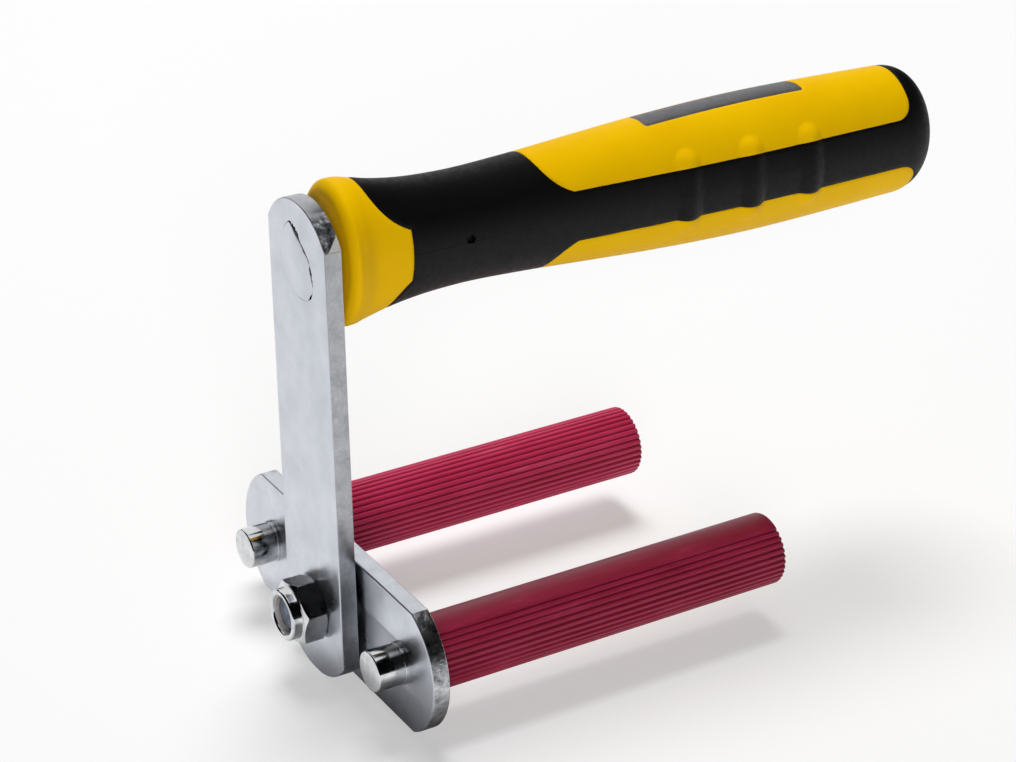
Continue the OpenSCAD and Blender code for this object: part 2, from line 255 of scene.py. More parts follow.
def zinc_material():
    """Satin bright zinc: faintly cloudy faces, greyer edges with scuffs, worn rocker ends, and an arc
    of the arm's head that was torn by the shears, its rough grit darkened with painted shade, with a
    painted highlight as a pale wedge at its back."""
    shade = Shade("zinc")
    x, y, z = shade.axes()
    facing = shade.node("ShaderNodeSeparateXYZ")
    shade.feed(facing.inputs["Vector"], shade.node("ShaderNodeNewGeometry").outputs["Normal"])
    edge = shade.fit(shade.math("ABSOLUTE", facing.outputs["Y"]), *EDGE_FACING, 1, 0)
    arm_edge = shade.math("MULTIPLY", edge, shade.fit(y, *ARM_BACK, 1, 0))
    arc_share = shade.math("MULTIPLY", shade.fit(z, *TORN_Z), shade.fit(x, *TORN_X))
    torn_arc = shade.math("MULTIPLY", edge, arc_share)
    # The pale wedge at the back of the torn arc is a painted highlight, standing for light the edge
    # mirrors
    slanted = shade.math("MULTIPLY_ADD", z, WEDGE_SLANT, y)
    wedge_highlight = shade.math("MULTIPLY", torn_arc, shade.fit(slanted, *WEDGE_FROM))
    rounded_end = shade.math("MULTIPLY", edge, shade.fit(shade.math("ABSOLUTE", x), *WORN_END))
    scuffs = shade.math("MAXIMUM", rounded_end, shade.math("MULTIPLY", edge, EDGE_SCUFFS))
    clouds = shade.noise(0.09, 5, 0.6)
    face = shade.ramp(
        clouds, (0.3, srgb(196, 200, 208)), (0.5, srgb(207, 211, 219)), (0.7, srgb(217, 221, 228))
    )
    grain = shade.noise(1.4, 4, 0.6, shift=3)
    drawn = shade.ramp(
        grain, (0.3, srgb(164, 166, 171)), (0.6, srgb(176, 178, 183)), (0.75, srgb(190, 192, 196))
    )
    worn = shade.noise(0.28, 5, 0.62, shift=5)
    scuffed = shade.ramp(
        worn, (0.36, srgb(104, 105, 108)), (0.5, srgb(190, 192, 196)), (0.62, srgb(226, 227, 230))
    )
    grit = shade.noise(0.8, 4, 0.6, shift=7)
    # Rough grit of the torn arc; its dark tones are partly painted shade, for the shaded guard it mirrors
    torn_grit_and_shade = shade.ramp(
        grit, (0.36, srgb(38, 39, 42)), (0.55, srgb(104, 106, 110)), (0.68, srgb(190, 192, 196))
    )
    colour = shade.mix(scuffs, shade.mix(arm_edge, face, drawn), scuffed)
    colour = shade.mix(wedge_highlight, shade.mix(torn_arc, colour, torn_grit_and_shade), srgb(222, 222, 220))
    shade.to("Base Color", colour)
    shade.to("Metallic", shade.math("SUBTRACT", 1, shade.math("MULTIPLY", torn_arc, TORN_DULL)))
    shade.to("Roughness", shade.fit(shade.noise(0.25, 4, 0.6, shift=9), 0.3, 0.7, 0.27, 0.35))
    shade.bump(shade.noise(0.3, 3, 0.6), 0.016)
    shade.bump(shade.noise(4, 3, 0.6), 0.004)
    shade.bump(shade.math("MULTIPLY", worn, scuffs), 0.35)
    shade.bump(shade.math("MULTIPLY", grit, torn_arc), 0.5)
    return shade.material


def bright_material():
    """Polished bright plating with faint turning marks. The bolt's sawn end is rougher, and darker and
    bluer with painted shade for its place deep in the nut.
    """
    shade = Shade("bright_steel", Metallic=1)
    x, y, z = shade.axes()
    off_axis = shade.math("SQRT", shade.math("MULTIPLY_ADD", x, x, shade.math("MULTIPLY", z, z)))
    sawn = shade.math("MULTIPLY", shade.fit(y, *SAWN_Y, 1, 0), shade.fit(off_axis, *SAWN_R, 1, 0))
    plated = shade.ramp(shade.noise(0.4, 3), (0.35, srgb(198, 200, 203)), (0.7, srgb(226, 227, 229)))
    # The sawn end's dark blue-grey is painted shade for the bolt's end deep inside the nut
    sawn_shade = shade.ramp(shade.noise(0.5, 4, 0.6), (0.35, srgb(72, 80, 96)), (0.65, srgb(112, 120, 134)))
    shade.to("Base Color", shade.mix(sawn, plated, sawn_shade))
    polish = shade.fit(shade.noise(1.2, 3), 0.3, 0.7, 0.08, 0.16)
    shade.to("Roughness", shade.math("MULTIPLY_ADD", sawn, SAWN_ROUGH, polish))
    shade.bump(shade.noise(2.5, 2, 0.5, (0.05, 1, 0.05)), 0.003)
    return shade.material


def rubber_material():
    """Red hose rubber, paler in streaks where the ribs are rubbed, with painted shade darkening the
    grooves. The right sleeve gets a darker copy of the colour, painted shade for the grip's shadow."""
    shade = Shade("red_rubber", Specular_IOR_Level=0.4)
    x, y, z = shade.axes()
    off_x = shade.math("SUBTRACT", shade.math("ABSOLUTE", x), PIN_X)
    off_axis = shade.math("SQRT", shade.math("MULTIPLY_ADD", off_x, off_x, shade.math("MULTIPLY", z, z)))
    wear = shade.noise(0.35, 4, 0.6, (1, 0.15, 1))
    # Lit and shaded copies of the colour: the right sleeve's darker copy is painted shade for the grip's
    # shadow
    lit_copy = shade.ramp(wear, (0.3, srgb(180, 42, 78)), (0.6, srgb(196, 52, 94)), (0.8, srgb(210, 88, 120)))
    shaded_copy = shade.ramp(wear, (0.3, srgb(142, 27, 56)), (0.6, srgb(160, 37, 70)), (0.8, srgb(182, 68, 97)))
    crest = shade.mix(shade.fit(x, -1, 1), lit_copy, shaded_copy)
    # Painted shade: the colour darkens towards the bottom of each groove
    groove_shade = shade.fit(off_axis, SLEEVE_R - GROOVE, SLEEVE_R - 0.1 * GROOVE, 0.5, 1)
    shade.to("Base Color", shade.mix(groove_shade, srgb(96, 12, 38), crest))
    shade.to("Roughness", shade.fit(wear, 0.3, 0.8, 0.42, 0.58))
    shade.bump(shade.noise(2.2, 4, 0.6, (1, 0.4, 1)), 0.02)
    return shade.material


def yellow_material():
    """Satin moulded plastic with a fine spark-eroded grain."""
    shade = Shade("yellow_plastic", Specular_IOR_Level=0.08)
    tint = shade.ramp(shade.noise(0.05, 3), (0.3, srgb(244, 190, 1)), (0.7, srgb(250, 199, 3)))
    shade.to("Base Color", tint)
    shade.to("Roughness", shade.fit(shade.noise(0.4, 3), 0.3, 0.7, 0.5, 0.58))
    shade.bump(shade.noise(5, 2, 0.5), 0.008)
    return shade.material


def black_material():
    """Soft black overmould with a fine grain, faint flow lines along it and a parting line."""
    shade = Shade("black_rubber", Specular_IOR_Level=0.22)
    flow = shade.noise(0.3, 4, 0.6, (1, 0.1, 1))
    shade.to("Base Color", shade.ramp(flow, (0.3, srgb(7, 7, 8)), (0.7, srgb(13, 13, 14))))
    shade.to("Roughness", shade.fit(shade.noise(0.8, 3), 0.3, 0.7, 0.48, 0.6))
    shade.bump(shade.noise(4, 3, 0.6), 0.02)
    x, y, z = shade.axes()
    off_line = shade.math("ABSOLUTE", shade.math("SUBTRACT", z, PARTING_Z))
    parting = shade.fit(off_line, 0, PARTING_W, 1, 0)
    on_neck = shade.math("MULTIPLY", shade.fit(y, *PARTING_Y, 1, 0), shade.fit(x, *PARTING_X))
    shade.bump(shade.math("MULTIPLY", parting, on_neck), 0.05)
    return shade.material


def nylon_material():
    """Pale nylon, a little uneven."""
    shade = Shade("nylon", Specular_IOR_Level=0.5)
    tint = shade.ramp(shade.noise(0.6, 3), (0.3, srgb(160, 152, 150)), (0.7, srgb(192, 185, 183)))
    shade.to("Base Color", tint)
    shade.to("Roughness", shade.fit(shade.noise(1, 3), 0.3, 0.7, 0.3, 0.42))
    shade.bump(shade.noise(1.5, 3), 0.03)
    return shade.material


def badge_material():
    """Grey inlay with a fine grain."""
    shade = Shade("grey_plastic", Specular_IOR_Level=0.5)
    tint = shade.ramp(shade.noise(0.5, 3), (0.3, srgb(84, 84, 87)), (0.7, srgb(98, 98, 101)))
    shade.to("Base Color", tint)
    shade.to("Roughness", shade.fit(shade.noise(0.9, 3), 0.3, 0.7, 0.42, 0.52))
    shade.bump(shade.noise(4, 2), 0.015)
    return shade.material


MATERIAL = {
    "zinc_plate": zinc_material(),
    "bright_steel": bright_material(),
    "red_rubber": rubber_material(),
    "nylon": nylon_material(),
    "yellow_plastic": yellow_material(),
    "black_rubber": black_material(),
    "grey_plastic": badge_material(),
}


# Meshes

# Angle of an edge that stays sharp, how squarely a flat end faces along Y, and the gap that is closed
SHARP = math.radians(24)
FLAT = 0.9999
WELD_GAP = 1e-5


def piece(name, node, verts, faces, place):
    """A mesh that stands for a CAD node: cleaned, shaded smooth but for its flat ends, and placed."""
    mesh = bpy.data.meshes.new(name)
    mesh.from_pydata(np.asarray(verts).tolist(), [], faces)
    work = bmesh.new()
    work.from_mesh(mesh)
    bmesh.ops.remove_doubles(work, verts=work.verts, dist=WELD_GAP)
    bmesh.ops.recalc_face_normals(work, faces=work.faces)
    for face in work.faces:
        face.smooth = abs(face.normal.y) < FLAT
    work.to_mesh(mesh)
    work.free()
    mesh.set_sharp_from_angle(angle=SHARP)
    points = np.zeros(3 * len(mesh.vertices), np.float32)
    mesh.vertices.foreach_get("co", points)
    mesh.attributes.new("mm", "FLOAT_VECTOR", "POINT").data.foreach_set("vector", points)
    mesh.transform(place)
    mesh.materials.append(MATERIAL[SLOT[node]])
    made = bpy.data.objects.new(name, mesh)
    bpy.context.collection.objects.link(made)
    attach(made, BODY[node])
    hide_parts(node)
    return made


def grid_faces(rows, columns, start=0, close=False):
    """Quads between rings of points, each ring closed; close also joins the last ring to the first."""
    faces = []
    for row in range(rows if close else rows - 1):
        low, high = start + row * columns, start + (row + 1) % rows * columns
        for k in range(columns):
            after = (k + 1) % columns
            faces.append((low + k, low + after, high + after, high + k))
    return faces


def spin(profile, columns=96, close=False):
    """Points and faces of a profile of (radius, y) spun about Y. The radius may be one per column."""
    angle = np.arange(columns) * 2 * np.pi / columns
    rings = []
    for radius, y in profile:
        ring = np.empty((columns, 3))
        ring[:, 0] = radius * np.cos(angle)
        ring[:, 1] = y
        ring[:, 2] = radius * np.sin(angle)
        rings.append(ring)
    return np.concatenate(rings), grid_faces(len(rings), columns, close=close)


def rounded(corner_in, corner_out, steps=5):
    """Profile points of a quarter round, from one (radius, y) to another. The first leaves along the
    radius, the second arrives along Y."""
    (r0, y0), (r1, y1) = corner_in, corner_out
    turn = np.linspace(0, np.pi / 2, steps + 1)
    return [(r0 + (r1 - r0) * np.sin(t), y1 + (y0 - y1) * np.cos(t)) for t in turn]


def arc(x, z, radius, start, end, steps=40):
    """Points of an arc in X and Z."""
    angle = np.radians(np.linspace(start, end, steps + 1))
    return np.stack([x + radius * np.cos(angle), z + radius * np.sin(angle)], axis=1)


def left_of(steps):
    """Unit vectors to the left of each step of a loop."""
    return np.stack([-steps[:, 1], steps[:, 0]], axis=1) / np.linalg.norm(steps, axis=1)[:, None]


def inset(loop, depth):
    """A closed loop moved to its left. The depth may be one number or one per point."""
    before = left_of(loop - np.roll(loop, 1, axis=0))
    after = left_of(np.roll(loop, -1, axis=0) - loop)
    mitre = before + after
    mitre /= (mitre * before).sum(axis=1)[:, None]
    return loop + mitre * np.reshape(depth, (-1, 1))


def plate(loops, front, back, edges, steps=5):
    """Points and faces of a plate in X and Z with rounded edges: an outer loop that runs
    anticlockwise and holes that run clockwise, seen from the front. Each loop has the width and the
    depth of its rounding, as one number or one per point."""
    turn = np.linspace(0, np.pi / 2, steps + 1)
    verts, faces, ends = [], [], []
    start = 0
    for loop, (wide, deep) in zip(loops, edges):
        rows = [(wide * (1 - math.sin(t)), front + deep * (1 - math.cos(t))) for t in turn]
        rows += [(depth, front + back - y) for depth, y in reversed(rows)]
        for depth, y in rows:
            flat = inset(loop, depth)
            verts.append(np.stack([flat[:, 0], np.broadcast_to(y, len(flat)), flat[:, 1]], axis=1))
        faces += grid_faces(len(rows), len(loop), start)
        ends.append((start, start + (len(rows) - 1) * len(loop), len(loop)))
        start += len(rows) * len(loop)
    verts = np.concatenate(verts)
    for side in (0, 1):
        runs = [range(end[side], end[side] + end[2]) for end in ends]
        index = [i for run in runs for i in run]
        rims = [[Vector((*verts[i][[0, 2]], 0)) for i in run] for run in runs]
        faces += [tuple(index[i] for i in corner) for corner in geometry.tessellate_polygon(rims)]
    return verts, faces


# Rocker, pins and sleeves

BAR_EDGE = 0.45
HOLE_EDGE = 0.2
HOLE_CLEAR = 0.05
HOLE_STEPS = 64


def rocker():
    end_x = ROCKER_HALF_L - ROCKER_END_R
    reach = math.degrees(math.asin(ROCKER_HALF_H / ROCKER_END_R))
    outline = np.concatenate([
        arc(end_x, 0, ROCKER_END_R, -reach, reach),
        arc(-end_x, 0, ROCKER_END_R, 180 - reach, 180 + reach),
    ])
    places = ((0, BOLT_R), (PIN_X, PIN_R), (-PIN_X, PIN_R))
    holes = [inset(arc(x, 0, r, 360, 0, HOLE_STEPS)[:-1], -HOLE_CLEAR) for x, r in places]
    edges = [(BAR_EDGE, BAR_EDGE)] + [(HOLE_EDGE, HOLE_EDGE)] * len(holes)
    bar = plate([outline] + holes, ROCKER_FRONT, ROCKER_BACK, edges)
    piece("rocker_bar", "rocker_plate", *bar, ROCKER)


PIN_EDGE = 0.4
COLLAR_L = 1.1
COLLAR_RISE = 0.2
COLLAR_EDGE = 0.12


def pin(name, node, x):
    """A round pin with a swaged collar against the rocker's face."""
    collar = PIN_R + COLLAR_RISE
    start = ROCKER_FRONT - COLLAR_L
    profile = [(0, PIN_FRONT)]
    profile += rounded((PIN_R - PIN_EDGE, PIN_FRONT), (PIN_R, PIN_FRONT + PIN_EDGE))
    profile += [(PIN_R, start)]
    profile += rounded((collar - COLLAR_EDGE, start), (collar, start + COLLAR_EDGE))
    profile += [(collar, ROCKER_FRONT), (PIN_R, ROCKER_FRONT), (PIN_R, PIN_BACK - PIN_EDGE)]
    profile += [(PIN_R - PIN_EDGE, PIN_BACK), (0, PIN_BACK)]
    piece(name, node, *spin(profile), ROCKER @ Matrix.Translation((x, 0, 0)))


# Ribs, the angle that the plain band takes, and where each band's middle is turned to. A groove's
# place and width are shares of a rib
RIBS = 27
BAND = 90
LEFT_BAND = 250
RIGHT_BAND = 110
GROOVE_PLACE = 0.23
GROOVE_W = 0.2
RIB_POINTS = 14
BAND_POINTS = 36
SLEEVE_EDGE = 0.5
SLEEVE_SOFT = 0.15
SLEEVE_ROWS = 24


def sleeve(name, node, x, band):
    """A hose with rounded ribs round most of it and one plain band."""
    pitch = (360 - BAND) / RIBS
    turn, depth = [], []
    for rib in range(RIBS):
        for k in range(RIB_POINTS):
            share = k / RIB_POINTS
            turn.append(BAND / 2 + pitch * (rib + share))
            depth.append(GROOVE * math.exp(-((share - GROOVE_PLACE) / GROOVE_W) ** 2))
    for k in range(BAND_POINTS):
        turn.append(-BAND / 2 + BAND * k / BAND_POINTS)
        depth.append(0)
    turn, depth = np.radians(np.array(turn) + band), np.array(depth)
    outer = SLEEVE_R - depth
    bore = PIN_R + HOLE_CLEAR
    end = [(bore, SLEEVE_EDGE), (bore + SLEEVE_EDGE, 0), (outer - SLEEVE_EDGE, 0)]
    end += [(outer - SLEEVE_SOFT, SLEEVE_SOFT), (outer, SLEEVE_EDGE)]
    length = SLEEVE_BACK - ROCKER_BACK
    between = SLEEVE_EDGE + np.linspace(0, 1, SLEEVE_ROWS)[1:-1] * (length - 2 * SLEEVE_EDGE)
    rows = end + [(outer, y) for y in between]
    rows += [(radius, length - y) for radius, y in reversed(end)]
    rings = []
    for radius, y in rows:
        ring = np.empty((len(turn), 3))
        ring[:, 0] = x + radius * np.cos(turn)
        ring[:, 1] = ROCKER_BACK + y
        ring[:, 2] = radius * np.sin(turn)
        rings.append(ring)
    faces = grid_faces(len(rows), len(turn), close=True)
    piece(name, node, np.concatenate(rings), faces, ROCKER)


rocker()
pin("pin_left", "left_pin", -PIN_X)
pin("pin_right", "right_pin", PIN_X)
sleeve("sleeve_left", "left_hose", -PIN_X, LEFT_BAND)
sleeve("sleeve_right", "right_hose", PIN_X, RIGHT_BAND)


# Arm, plug weld, shaft and fillet weld

# Ground plug weld on the arm's face, clockwise from its top: its outline, the width of the crack
# that is left along it, the width of the arm's lip and the width of the hollow in the plug
PLUG = np.array([
    (-3.3, 88, 0.15, 0.1, 0.2), (-1.6, 88.2, 0.8, 0.1, 0.3), (-0.3, 87.7, 1.2, 0.1, 0.5),
    (0.8, 86.6, 0.9, 0.1, 1), (1.7, 85.5, 0.2, 0.15, 1.5), (2.6, 84.7, 0.16, 0.15, 1.3),
    (3.4, 84.1, 0.5, 0.15, 1), (4.2, 83.4, 0.2, 0.15, 0.8), (5, 82.6, 0.2, 0.15, 0.7),
    (5.7, 81.7, 0.22, 0.15, 0.6), (6.05, 80.7, 0.75, 0.1, 0.3), (6.5, 78.9, 0.6, 0.1, 0.3),
    (6.65, 77.1, 0.16, 0.1, 0.15), (6.5, 75.6, 0.05, 0.05, 0.05), (5.8, 74.2, 0.5, 0.1, 0.1),
    (4.2, 73, 0.06, 0.04, 0.04), (2, 72.4, 0.06, 0.04, 0.04), (-1, 72.7, 0.02, 0.02, 0.02),
    (-4.6, 74.6, 0.01, 0.01, 0.01), (-7, 78, 0.01, 0.01, 0.01), (-7.2, 81.4, 0.01, 0.01, 0.01),
    (-5.9, 85, 0.01, 0.01, 0.01),
])
# Depths of the hollow and the lip, as shares of their widths; how ragged the crack is, as a share of
# its width; and the width of what counts as shut
HOLLOW_DEPTH = 0.4
LIP_DEPTH = 0.3
CRACK_RAGGED = 0.25
SHUT = 0.002
PLUG_STEPS = 6
PLUG_T = 1.2
ARM_EDGE = 0.3


def smooth_loop(points, steps):
    """A smooth closed curve through the points."""
    t = np.arange(steps)[:, None] / steps
    p0, p1, p2, p3 = (np.roll(points, k, axis=0)[:, None] for k in (1, 0, -1, -2))
    curve = p1 + 0.5 * t * (p2 - p0 + t * (2 * p0 - 5 * p1 + 4 * p2 - p3 + t * (3 * (p1 - p2) + p3 - p0)))
    return curve.reshape(-1, points.shape[1])


def arm():
    """The arm's bar, and the plug weld in its face, with the crack left between them."""
    foot = math.degrees(math.acos(ARM_W / 2 / FOOT_R))
    top = math.degrees(math.acos(ARM_W / 2 / HEAD_R))
    outline = np.concatenate([
        arc(0, HEAD_Z, HEAD_R, top, 180 - top),
        arc(0, 0, FOOT_R, 180 + foot, 360 - foot),
    ])
    marks = smooth_loop(PLUG, PLUG_STEPS)
    plug, (crack, lip, hollow) = marks[:, :2], np.maximum(marks[:, 2:].T, SHUT)
    hole = inset(plug, rng.normal(0, CRACK_RAGGED, len(plug)) * -crack)
    bolt_hole = arc(0, 0, BOLT_R + HOLE_CLEAR, 360, 0, HOLE_STEPS)[:-1]
    edges = [(ARM_EDGE, ARM_EDGE), (lip, lip * LIP_DEPTH), (HOLE_EDGE, HOLE_EDGE)]
    piece("arm_bar", "arm_plate", *plate([outline, hole, bolt_hole], 0, ARM_T, edges), LEVER)
    hollow = hollow[::-1]
    weld = plate([inset(plug[::-1], crack[::-1])], 0, PLUG_T, [(hollow, hollow * HOLLOW_DEPTH)])
    piece("plug_weld", "front_weld", *weld, LEVER)


SHAFT_FRONT = PLUG_T + 0.05
SHAFT_EDGE = 1


def shaft():
    profile = [(0, SHAFT_FRONT), (SHAFT_R, SHAFT_FRONT), (SHAFT_R, SHAFT_BACK - SHAFT_EDGE)]
    profile += [(SHAFT_R - SHAFT_EDGE, SHAFT_BACK), (0, SHAFT_BACK)]
    piece("grip_shaft", "handle_shaft", *spin(profile), SHAFT)


# The bead's leg, how far it stands off the shaft and the arm, how far it bulges, its ripples and a slow
# waver round it
FILLET_LEG = 0.8 * GRIP_GAP
FILLET_OFF = 0.1
FILLET_IN = 0.03
FILLET_LIFT = 0.02
FILLET_BULGE = 0.25
FILLET_STEPS = 6
FILLET_COLUMNS = 208
RIPPLES = 26
RIPPLE = 0.12
WAVER = 0.1
WAVERS = 3


def fillet():
    """The fillet weld round the shaft, behind the arm."""
    angle = np.arange(FILLET_COLUMNS) * 2 * np.pi / FILLET_COLUMNS
    ripple = RIPPLE * np.abs(np.sin(angle * RIPPLES / 2)) + WAVER * np.sin(WAVERS * angle + 1)
    front = ARM_T + FILLET_LIFT
    inner = np.full(FILLET_COLUMNS, SHAFT_R + FILLET_IN)
    profile = [(inner, ARM_T + FILLET_LEG)]
    for share in np.linspace(0, 1, FILLET_STEPS + 1):
        swell = math.sin(math.pi * share)
        reach = SHAFT_R + FILLET_OFF + FILLET_LEG * share + swell * (FILLET_BULGE + ripple)
        profile.append((reach, front + FILLET_LEG * (1 - share)))
    profile.append((inner, front))
    place = LEVER @ Matrix.Translation((0, 0, SHAFT_Z))
    piece("fillet_weld", "rear_weld", *spin(profile, FILLET_COLUMNS, close=True), place)


arm()
shaft()
fillet()


# Bolt, lock nut and washers

# Points round a hexagon, how sharp its corners are, the size of its end faces as a share of the flats,
# and the slope of the chamfer
HEX_COLUMNS = 240
HEX_SOFT = 70
HEX_FACE = 0.96
CONE = math.tan(math.radians(30))


def hex_radius():
    """The radius of a hexagon with softened corners, round its axis."""
    angle = np.arange(HEX_COLUMNS) * 2 * np.pi / HEX_COLUMNS
    flats = math.radians(NUT_TURN + 30) + np.arange(6) * np.pi / 3
    toward = np.maximum(0, np.cos(angle[:, None] - flats))
    return HEX_AF / 2 / (toward ** HEX_SOFT).sum(axis=1) ** (1 / HEX_SOFT)


def hex_rows(front, back, steps=6):
    """Rows of a hexagon with both ends chamfered by a cone."""
    radius = hex_radius()
    face = HEX_AF / 2 * HEX_FACE
    rise = np.maximum(radius - face, 0) * CONE
    shares = np.linspace(0, 1, steps)
    rows = [(face + (radius - face) * s, front + rise * s) for s in shares]
    rows += [(face + (radius - face) * s, back - rise * s) for s in reversed(shares)]
    return rows


# The nut's collar: its rolled lip, its wall, the points of the round at its foot and the gap to the ring
LIP = 0.6
LIP_IN = 0.75
LIP_STEPS = 12
COLLAR_WALL = 0.65
COLLAR_FOOT = ((0.35, 0), (0.1, 0.12), (0, 0.4))
RING_CLEAR = 0.02


def lock_nut():
    """A hexagon nut with a collar rolled in over its nylon ring."""
    collar = RING_R + COLLAR_WALL
    mouth = RING_R - LIP_IN
    bore = BOLT_R + HOLE_CLEAR
    rows = [(bore, 0)]
    rows += list(reversed(hex_rows(-NUT_HEX_H, 0)))
    rows += [(collar + out, -NUT_HEX_H - up) for out, up in COLLAR_FOOT]
    rows += [(collar, NUT_FRONT + LIP)]
    turn = np.linspace(0, np.pi, LIP_STEPS + 1)
    middle_r, half = (collar + mouth) / 2, (collar - mouth) / 2
    rows += [(middle_r + half * math.cos(t), NUT_FRONT + LIP * (1 - math.sin(t))) for t in turn[1:]]
    seat = RING_FRONT - RING_CLEAR
    rows += [(mouth, seat), (RING_R, seat), (RING_R, -NUT_HEX_H), (bore, -NUT_HEX_H)]
    piece("nut", "lock_nut", *spin(rows, HEX_COLUMNS, close=True), LEVER)


# The bolt's chamfer, and how the corner where it starts is softened: inwards and back
BOLT_EDGE = 0.8
BOLT_SOFT = (0.3, 0.06)


def bolt():
    """A bolt with a chamfered end and a hexagon head behind the rocker."""
    flat = BOLT_R - BOLT_EDGE
    rows = [(0, BOLT_FRONT), (flat - BOLT_SOFT[0], BOLT_FRONT), (flat, BOLT_FRONT + BOLT_SOFT[1])]
    rows += [(BOLT_R, BOLT_FRONT + BOLT_EDGE), (BOLT_R, WASHER_BACK)]
    rows += hex_rows(WASHER_BACK, BOLT_BACK)
    rows += [(0, BOLT_BACK)]
    piece("bolt", "pivot_bolt", *spin(rows, HEX_COLUMNS), LEVER)


def ring(name, node, front, back, outer, edge):
    """A ring round the bolt, with rounded outer edges."""
    inner = BOLT_R + HOLE_CLEAR
    profile = rounded((outer - edge, front), (outer, front + edge), steps=4)
    profile += [(r, front + back - y) for r, y in reversed(profile)]
    profile += [(inner + edge, back), (inner, back - edge), (inner, front + edge), (inner + edge, front)]
    piece(name, node, *spin(profile, close=True), LEVER)


lock_nut()
bolt()
ring("nut_insert", "nylon_ring", RING_FRONT, RING_BACK, RING_R - RING_CLEAR, edge=0.3)
ring("spacer", "spacer_washer", ARM_T, ROCKER_FRONT, WASHER_R, edge=0.15)
ring("back_washer", "head_washer", ROCKER_BACK, WASHER_BACK, WASHER_R, edge=0.25)


# Grip: one fine surface, cut along the outlines of its hard, soft and badge zones

# Sections along the grip, as shares of its length, height and width
STATIONS = np.array([0, 0.008, 0.02, 0.039, 0.072, 0.118, 0.185, 0.29, 0.385, 0.5, 0.665, 0.84, 0.93])
HEIGHTS = np.array([0.92, 1, 1.02, 0.99, 0.91, 0.835, 0.795, 0.825, 0.885, 0.955, 1.01, 0.985, 0.955])
WIDTHS = np.array([0.87, 0.955, 0.915, 0.815, 0.8, 0.81, 0.795, 0.82, 0.875, 0.945, 1, 0.965, 0.945])
# Roundness of the tip and of the front rim, and a small cut that keeps the surface inside the CAD box
END_POWER = 2.6
LIP_EDGE = 0.8
INSIDE = 0.996
# Rings of the surface: two in the shaft's hole, then those of the front face, the rim, the guard's
# front, the rest at an even step, and the tip, closer together at its end; then the least half width
# that the relief's directions reckon with
BORE_R = SHAFT_R + 0.06
BORE_Y = (5, 0.4)
BORE_EDGE = 0.3
FACE_ROWS = 11
RIM_ROWS = 8
GUARD_ROWS = 39
GUARD_FRONT = 6
ROW_STEP = 0.3
TIP_ROWS = 59
TIP_CLOSER = 0.8
BODY_START = len(BORE_Y) + FACE_ROWS
LEAST_HALF = 0.1
GRIP_COLUMNS = 288
# Finger beads, the groove along the seams and the moulding dimple
BEADS = np.array([0.542, 0.6495, 0.7525]) * GRIP_L
BEAD_HALF_W = 3.2
BEAD_H = 1.15
BEAD_REACH = 9.6
BEAD_POWER = 1.3
SEAM = 0.22
SEAM_W = 0.3
SEAM_FROM_R = SHAFT_R + 1
DIMPLE_Y = 28.3
DIMPLE_Z = 0.35
DIMPLE_R = 0.85
DIMPLE = 1
# Outlines of the zones seen from the side, each above and below the grip's axis: centre and radius
# of the guard's scallops and the panels' noses, end and corner of the panels' tails
STRIPE = 5.65
GUARD_L = 14.85
SCALLOP_Y, SCALLOP_Z, SCALLOP_R = (20.1, 24.4), (17.8, 16.1), 13.7
NOSE_Y, NOSE_Z, NOSE_R = (57.9, 60), (16.9, 16.3), 12
PANEL_BACK = (141.3, 143.6)
TAIL_R = (4, 5)
BADGE_Y = 0.6413 * GRIP_L
BADGE_HALF = (3.6, 20.6)
BADGE_CORNER = 0.8
SKIN = 1.2


def along_stations(values, share):
    """The smooth curve through the stations, as the CAD source draws it."""
    gap = np.diff(STATIONS)
    rise = np.diff(values) / gap
    inner = (gap[1:] * rise[:-1] + gap[:-1] * rise[1:]) / (gap[1:] + gap[:-1])
    slope = np.concatenate([rise[:1], inner, rise[-1:]])
    i = np.clip(np.searchsorted(STATIONS, share) - 1, 0, len(gap) - 1)
    u = (share - STATIONS[i]) / gap[i]
    value = values[i] * (1 + 2 * u) * (1 - u) ** 2 + values[i + 1] * u ** 2 * (3 - 2 * u)
    return value + gap[i] * u * (1 - u) * (slope[i] * (1 - u) - slope[i + 1] * u)


def grip_rows():
    """Place, half width and half height of each ring, from inside the shaft's hole to the tip."""
    tip_l = (1 - STATIONS[-1]) * GRIP_L
    tip_y = STATIONS[-1] * GRIP_L
    body = np.concatenate([
        np.linspace(0, LIP_EDGE, RIM_ROWS + 1)[:-1],
        np.linspace(LIP_EDGE, GUARD_FRONT, GUARD_ROWS + 1)[:-1],
        np.arange(GUARD_FRONT, tip_y, ROW_STEP), [tip_y],
    ])
    half_w = GRIP_W / 2 * along_stations(WIDTHS, body / GRIP_L)
    half_h = GRIP_H / 2 * along_stations(HEIGHTS, body / GRIP_L)
    round_off = LIP_EDGE * (1 - np.sqrt(1 - np.clip(1 - body / LIP_EDGE, 0, 1) ** 2))
    tip = np.sin(np.linspace(0, np.pi / 2, TIP_ROWS + 1)[1:]) ** TIP_CLOSER
    shrink = (1 - tip ** END_POWER) ** (1 / END_POWER)
    y = np.concatenate([BORE_Y, np.zeros(FACE_ROWS), body, tip_y + tip_l * tip])
    sizes = []
    for half in (half_w, half_h):
        rim = half[0] - round_off[0]
        face = np.linspace(BORE_R + BORE_EDGE, rim, FACE_ROWS + 1)[:-1]
        bore = [BORE_R] * len(BORE_Y)
        sizes.append(INSIDE * np.concatenate([bore, face, half - round_off, half[-1] * shrink]))
    return y, sizes[0], sizes[1]


